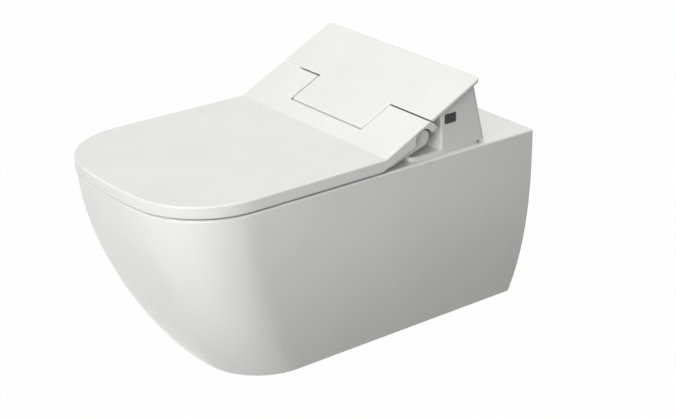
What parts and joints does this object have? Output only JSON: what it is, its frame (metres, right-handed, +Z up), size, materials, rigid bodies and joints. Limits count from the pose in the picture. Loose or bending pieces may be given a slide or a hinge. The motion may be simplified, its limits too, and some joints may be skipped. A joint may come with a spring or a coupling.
{
  "type": "wall hung toilet",
  "caption": "Wall hung toilet with a skirted white ceramic pan and a flat shower seat with folded lid and sloping cover.",
  "frame": {"origin": "midpoint between the two fixing studs, on the wall face", "axes": "+Y into the wall along the studs, +X to the right seen from the front, +Z up"},
  "size_m": [0.3604, 0.6314, 0.3959],
  "materials": {
    "vitreous_china": "glossy",
    "seat_plastic": "glossy",
    "cover_plastic": "glossy",
    "chassis_plastic": "matte",
    "nylon": "satin",
    "wand_plastic": "glossy",
    "zinc_steel": "satin",
    "stainless_steel": "polished",
    "rubber": "matte",
    "brass": "satin",
    "valve_plastic": "matte",
    "dark_acrylic": "glossy",
    "circuit_board": "satin"
  },
  "bodies": {
    "toilet": {"ceramic_bowl": "vitreous_china", "fixing_sleeve_left": "nylon", "fixing_sleeve_right": "nylon", "clamp_screw_left": "zinc_steel", "clamp_screw_right": "zinc_steel", "base_plate": "cover_plastic", "seat_bolt_left": "zinc_steel", "seat_bolt_right": "zinc_steel", "expansion_plug_left": "rubber", "expansion_plug_right": "rubber", "unit_pan": "chassis_plastic", "rear_housing": "cover_plastic", "top_cover": "cover_plastic", "sensor_window": "dark_acrylic", "ir_receiver": "circuit_board", "lid_damper": "chassis_plastic", "seat_damper": "chassis_plastic", "wand_guide": "chassis_plastic", "feed_manifold": "chassis_plastic", "wand_motor": "zinc_steel", "water_inlet": "brass", "solenoid_valve": "valve_plastic", "flow_heater": "zinc_steel", "cold_hose": "rubber", "warm_hose": "rubber", "control_board": "circuit_board", "power_supply": "chassis_plastic", "cable_gland": "chassis_plastic", "fan_casing": "chassis_plastic"},
    "seat": {"seat_ring": "seat_plastic", "seat_shaft": "stainless_steel", "seat_buffer_rear_left": "rubber", "seat_buffer_rear_right": "rubber", "seat_buffer_front_left": "rubber", "seat_buffer_front_right": "rubber"},
    "lid": {"lid": "seat_plastic", "lid_shaft": "stainless_steel", "lid_buffer_rear_left": "rubber", "lid_buffer_rear_right": "rubber", "lid_buffer_front_left": "rubber", "lid_buffer_front_right": "rubber"},
    "wand": {"spray_wand": "wand_plastic", "nozzle_tip": "wand_plastic"},
    "pinion": {"drive_pinion": "nylon"},
    "button": {"release_button": "cover_plastic"},
    "fan": {"fan_rotor": "chassis_plastic"}
  },
  "joints": [
    {"name": "seat_hinge", "type": "hinge", "parent": "toilet", "child": "seat", "pos_m": [0, -0.21277, 0.14952], "axis": [1, 0, 0], "range_deg": [-92, 0]},
    {"name": "lid_hinge", "type": "hinge", "parent": "seat", "child": "lid", "pos_m": [0, -0.21277, 0.14952], "axis": [-1, 0, 0], "range_deg": [0, 94]},
    {"name": "wand_slide", "type": "slide", "parent": "toilet", "child": "wand", "axis": [0, -0.9397, -0.342], "range_m": [0, 0.095]},
    {"name": "pinion_spin", "type": "hinge", "parent": "toilet", "child": "pinion", "pos_m": [0, -0.22365, 0.14361], "axis": [-1, 0, 0], "range_deg": [0, 606]},
    {"name": "button_press", "type": "slide", "parent": "toilet", "child": "button", "axis": [1, 0, 0], "range_m": [0, 0.004], "stiffness_N_per_m": 400, "springref_m": -0.001},
    {"name": "fan_spin", "type": "hinge", "parent": "toilet", "child": "fan", "pos_m": [0.125, -0.14, 0.133], "axis": [0, 0, 1], "continuous": true}
  ],
  "couplings": [
    {"joint": "pinion_spin", "follows": "wand_slide", "rad_per_m": 111.11}
  ]
}
